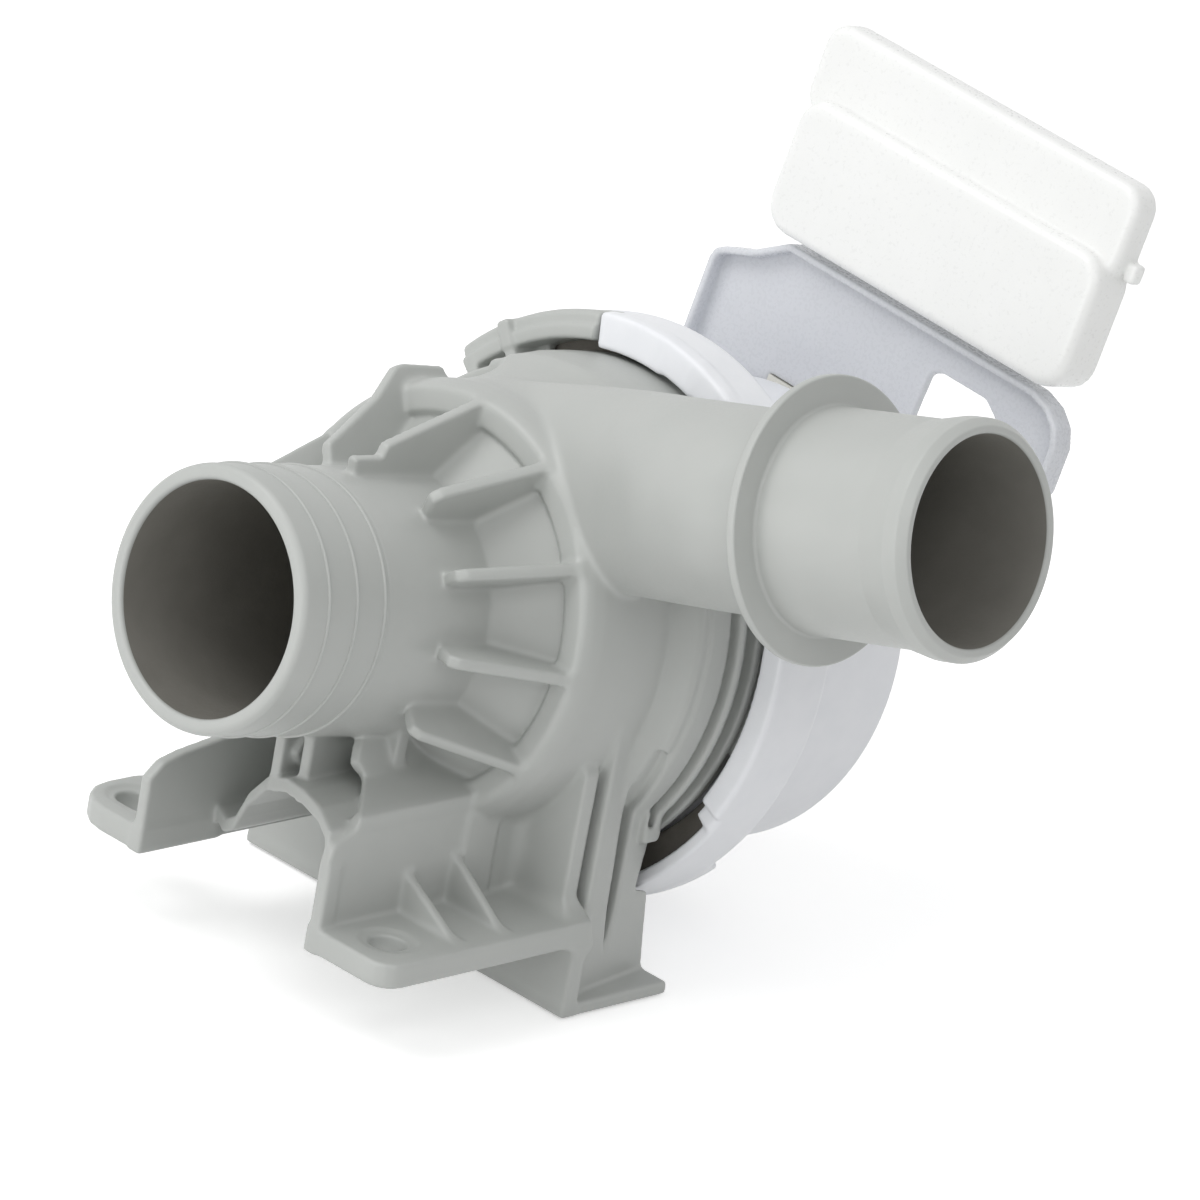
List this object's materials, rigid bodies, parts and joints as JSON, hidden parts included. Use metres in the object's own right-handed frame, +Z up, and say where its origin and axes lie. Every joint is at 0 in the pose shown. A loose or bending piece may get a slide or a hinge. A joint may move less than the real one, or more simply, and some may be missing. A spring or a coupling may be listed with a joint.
{
  "type": "washer drain pump",
  "caption": "Drain pump: straight inlet spigot, ribbed volute casing with feet, flanged tangential outlet, bayonet motor housing and an open connector cover with a hinged lid.",
  "frame": {"origin": "centre of the inlet spigot's open mouth", "axes": "+Z up, square to the undersides of the foot tabs; +X to the side that the outlet leaves from; +Y from the inlet back to the motor, so the pump axis runs along +Y and dips 8.7 degrees toward the motor"},
  "size_m": [0.1436, 0.1352, 0.1379],
  "materials": {
    "casing_plastic": "satin, fine moulded grain",
    "motor_plastic": "satin",
    "cover_plastic": "slightly translucent, satin",
    "inner_plastic": "satin",
    "impeller_plastic": "satin",
    "seal_rubber": "matte",
    "bush_ceramic": "ground",
    "shaft_steel": "ground",
    "ferrite": "ground",
    "stator_steel": "stamped",
    "copper_wire": "enamelled wire",
    "board": "lacquered",
    "pin_metal": "tinned"
  },
  "bodies": {
    "pump": {"volute_casing": "casing_plastic", "front_plate": "inner_plastic", "body_seal": "seal_rubber", "rotor_can": "inner_plastic", "front_bush_holder": "seal_rubber", "front_bush": "bush_ceramic", "rear_bush_holder": "seal_rubber", "rear_bush": "bush_ceramic", "stator_core": "stator_steel", "coil_bobbins": "inner_plastic", "coil_windings": "copper_wire", "wiring_board": "board", "motor_housing": "motor_plastic", "terminal_block": "motor_plastic", "terminal_pins": "pin_metal", "cover_tray": "cover_plastic"},
    "rotor": {"rotor_shaft": "shaft_steel", "magnet_carrier": "inner_plastic", "rotor_magnet": "ferrite", "thrust_washers": "inner_plastic", "impeller": "impeller_plastic", "impeller_cap": "impeller_plastic"},
    "lid": {"cover_lid": "cover_plastic"}
  },
  "joints": [
    {"name": "rotor_spin", "type": "hinge", "parent": "pump", "child": "rotor", "pos_m": [0, 0.05733, -0.00877], "axis": [0, 0.9885, -0.1513], "continuous": true},
    {"name": "lid_hinge", "type": "hinge", "parent": "pump", "child": "lid", "pos_m": [0.01946, 0.12699, 0.03724], "axis": [-0.9962, 0.0132, 0.0862], "range_deg": [0, 180]}
  ]
}
